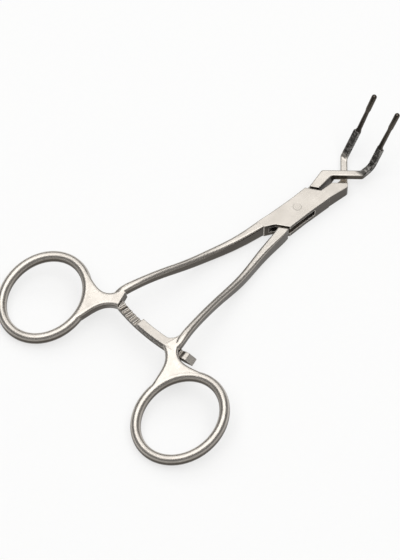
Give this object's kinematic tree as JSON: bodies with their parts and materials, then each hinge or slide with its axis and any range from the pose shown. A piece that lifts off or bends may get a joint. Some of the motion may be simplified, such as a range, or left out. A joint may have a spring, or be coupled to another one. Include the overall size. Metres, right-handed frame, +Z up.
{
  "type": "curved surgical clamp",
  "caption": "Ring-handled steel surgical clamp with box lock, ratchet, arched shanks and bent-up jaws with thin prongs; squeezing spreads the jaws.",
  "frame": {"origin": "on the pivot axis, in the flat underside of the box lock, which rests on the table", "axes": "+X along the clamp towards its jaws, +Y towards the box arm's finger ring, +Z up, the side the jaws are bent towards"},
  "size_m": [0.1307, 0.0857, 0.0222],
  "materials": {
    "satin_steel": "satin, glass-bead blasted",
    "pin_steel": "satin, ground flush with the lock",
    "prong_steel": "dark satin"
  },
  "bodies": {
    "box_side": {"box_arm": "satin_steel", "pivot_pin": "pin_steel", "left_prong": "prong_steel"},
    "tongue_side": {"tongue_arm": "satin_steel", "right_prong": "prong_steel"}
  },
  "joints": [
    {"name": "box_lock", "type": "hinge", "parent": "box_side", "child": "tongue_side", "pos_m": [0, 0, 0.0026], "axis": [0, 0, -1], "range_deg": [-11.2, 4.5]}
  ]
}
